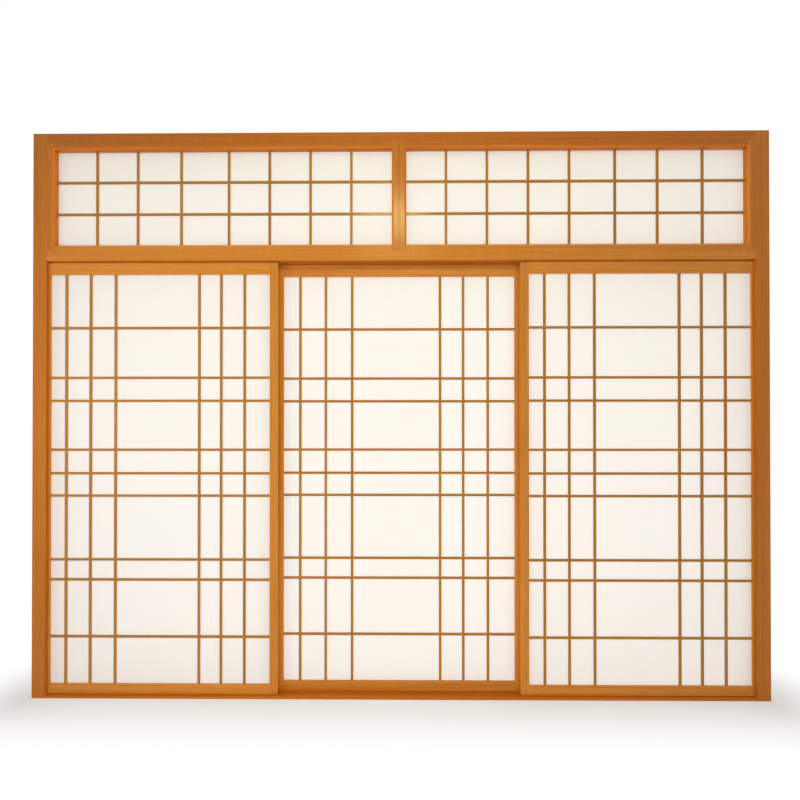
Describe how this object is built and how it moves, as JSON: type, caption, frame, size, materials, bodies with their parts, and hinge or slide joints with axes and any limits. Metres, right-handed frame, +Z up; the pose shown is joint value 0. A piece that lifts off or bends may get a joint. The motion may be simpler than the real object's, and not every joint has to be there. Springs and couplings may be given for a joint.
{
  "type": "shoji sliding screen",
  "caption": "Timber-framed sliding screen: papered lattice leaves run in grooves between sill and lintel, below a papered transom of small panes.",
  "frame": {"origin": "middle of the underside of the sill, on the floor", "axes": "+X along the screen to the right seen from the front, +Y from the front to the back, +Z up"},
  "size_m": [3.142, 0.09, 2.4195],
  "materials": {
    "frame_wood": "satin",
    "panel_wood": "satin",
    "lattice_wood": "satin",
    "paper": "matte"
  },
  "bodies": {
    "frame": {"left_post": "frame_wood", "right_post": "frame_wood", "sill": "frame_wood", "lintel": "frame_wood", "head": "frame_wood", "left_transom_left_stile": "panel_wood", "left_transom_right_stile": "panel_wood", "left_transom_top_rail": "panel_wood", "left_transom_bottom_rail": "panel_wood", "left_transom_uprights": "lattice_wood", "left_transom_crossbars": "lattice_wood", "left_transom_paper": "paper", "right_transom_left_stile": "panel_wood", "right_transom_right_stile": "panel_wood", "right_transom_top_rail": "panel_wood", "right_transom_bottom_rail": "panel_wood", "right_transom_uprights": "lattice_wood", "right_transom_crossbars": "lattice_wood", "right_transom_paper": "paper"},
    "left_leaf": {"left_leaf_left_stile": "panel_wood", "left_leaf_right_stile": "panel_wood", "left_leaf_top_rail": "panel_wood", "left_leaf_bottom_rail": "panel_wood", "left_leaf_left_uprights": "lattice_wood", "left_leaf_right_uprights": "lattice_wood", "left_leaf_crossbars": "lattice_wood", "left_leaf_paper": "paper"},
    "middle_leaf": {"middle_leaf_left_stile": "panel_wood", "middle_leaf_right_stile": "panel_wood", "middle_leaf_top_rail": "panel_wood", "middle_leaf_bottom_rail": "panel_wood", "middle_leaf_left_uprights": "lattice_wood", "middle_leaf_right_uprights": "lattice_wood", "middle_leaf_crossbars": "lattice_wood", "middle_leaf_paper": "paper"},
    "right_leaf": {"right_leaf_left_stile": "panel_wood", "right_leaf_right_stile": "panel_wood", "right_leaf_top_rail": "panel_wood", "right_leaf_bottom_rail": "panel_wood", "right_leaf_left_uprights": "lattice_wood", "right_leaf_right_uprights": "lattice_wood", "right_leaf_crossbars": "lattice_wood", "right_leaf_paper": "paper"}
  },
  "joints": [
    {"name": "left_leaf_slide", "type": "slide", "parent": "frame", "child": "left_leaf", "axis": [1, 0, 0], "range_m": [0, 0.52]},
    {"name": "middle_leaf_slide", "type": "slide", "parent": "frame", "child": "middle_leaf", "axis": [1, 0, 0], "range_m": [-1, 1]},
    {"name": "right_leaf_slide", "type": "slide", "parent": "frame", "child": "right_leaf", "axis": [-1, 0, 0], "range_m": [0, 0.52]}
  ]
}
